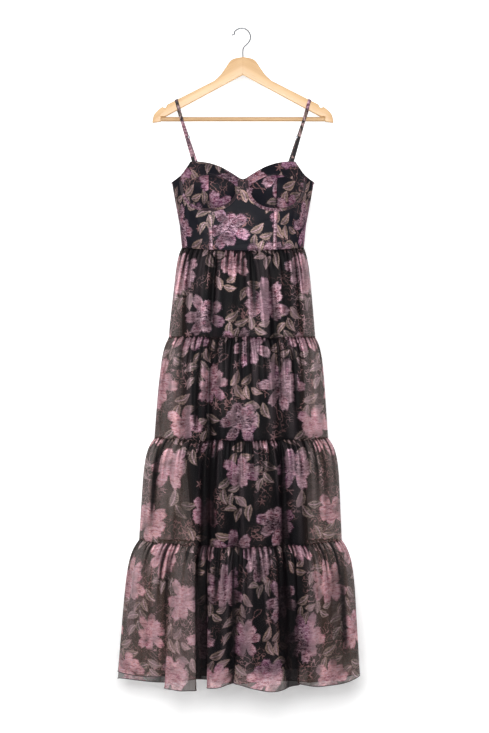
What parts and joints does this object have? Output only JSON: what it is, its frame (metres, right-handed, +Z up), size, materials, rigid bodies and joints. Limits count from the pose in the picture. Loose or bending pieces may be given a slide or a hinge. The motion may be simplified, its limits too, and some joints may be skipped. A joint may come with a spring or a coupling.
{
  "type": "tiered strappy maxi dress on a wooden hanger",
  "caption": "Sleeveless maxi dress with wired cups, thin straps and gathered sheer skirt tiers over a slip lining, hanging on a wooden clothes hanger with a wire hook.",
  "frame": {"origin": "inside of the hook's bend, where the hanger bears on a rail", "axes": "+Z up, the dress faces -Y, +X to the right as seen from the front"},
  "size_m": [0.593, 0.1484, 1.6104],
  "materials": {
    "organza": "sheer black organza with a lustrous mauve and taupe floral",
    "bodice_cloth": "black floral organza over an opaque backing",
    "lining_cloth": "black slip lining",
    "casing_cloth": "folded floral strip",
    "strap_cloth": "folded floral strip",
    "zip_tape": "woven black tape",
    "bright_metal": "bright plated steel",
    "wood": "clear-lacquered pale wood"
  },
  "bodies": {
    "dress": {"tier_1_front": "organza", "tier_1_back_left": "organza", "tier_1_back_right": "organza", "tier_2_front": "organza", "tier_2_back": "organza", "tier_3_front": "organza", "tier_3_back": "organza", "tier_4_front": "organza", "tier_4_back": "organza", "bodice_centre_front": "bodice_cloth", "bodice_side_front_left": "bodice_cloth", "bodice_side_front_right": "bodice_cloth", "bodice_back_left": "bodice_cloth", "bodice_back_right": "bodice_cloth", "cup_upper_left": "bodice_cloth", "cup_upper_right": "bodice_cloth", "cup_lower_inner_left": "bodice_cloth", "cup_lower_inner_right": "bodice_cloth", "cup_lower_outer_left": "bodice_cloth", "cup_lower_outer_right": "bodice_cloth", "lining_front": "lining_cloth", "lining_back": "lining_cloth", "wire_casing_left": "casing_cloth", "wire_casing_right": "casing_cloth", "bone_casing_left": "casing_cloth", "bone_casing_right": "casing_cloth", "strap_left": "strap_cloth", "strap_right": "strap_cloth", "strap_tab_left": "strap_cloth", "strap_tab_right": "strap_cloth", "zip_tape": "zip_tape", "strap_slider_left": "bright_metal", "strap_slider_right": "bright_metal", "strap_ring_left": "bright_metal", "strap_ring_right": "bright_metal", "zip_slider": "bright_metal", "hanger_hook": "bright_metal", "hanger_body": "wood", "hanger_bar": "wood"},
    "zip_pull": {"zip_pull": "bright_metal"}
  },
  "joints": [
    {"name": "zip_pull_hinge", "type": "hinge", "parent": "dress", "child": "zip_pull", "pos_m": [0, 0.0373, -0.391], "axis": [1, 0, 0], "range_deg": [0, 150]}
  ]
}
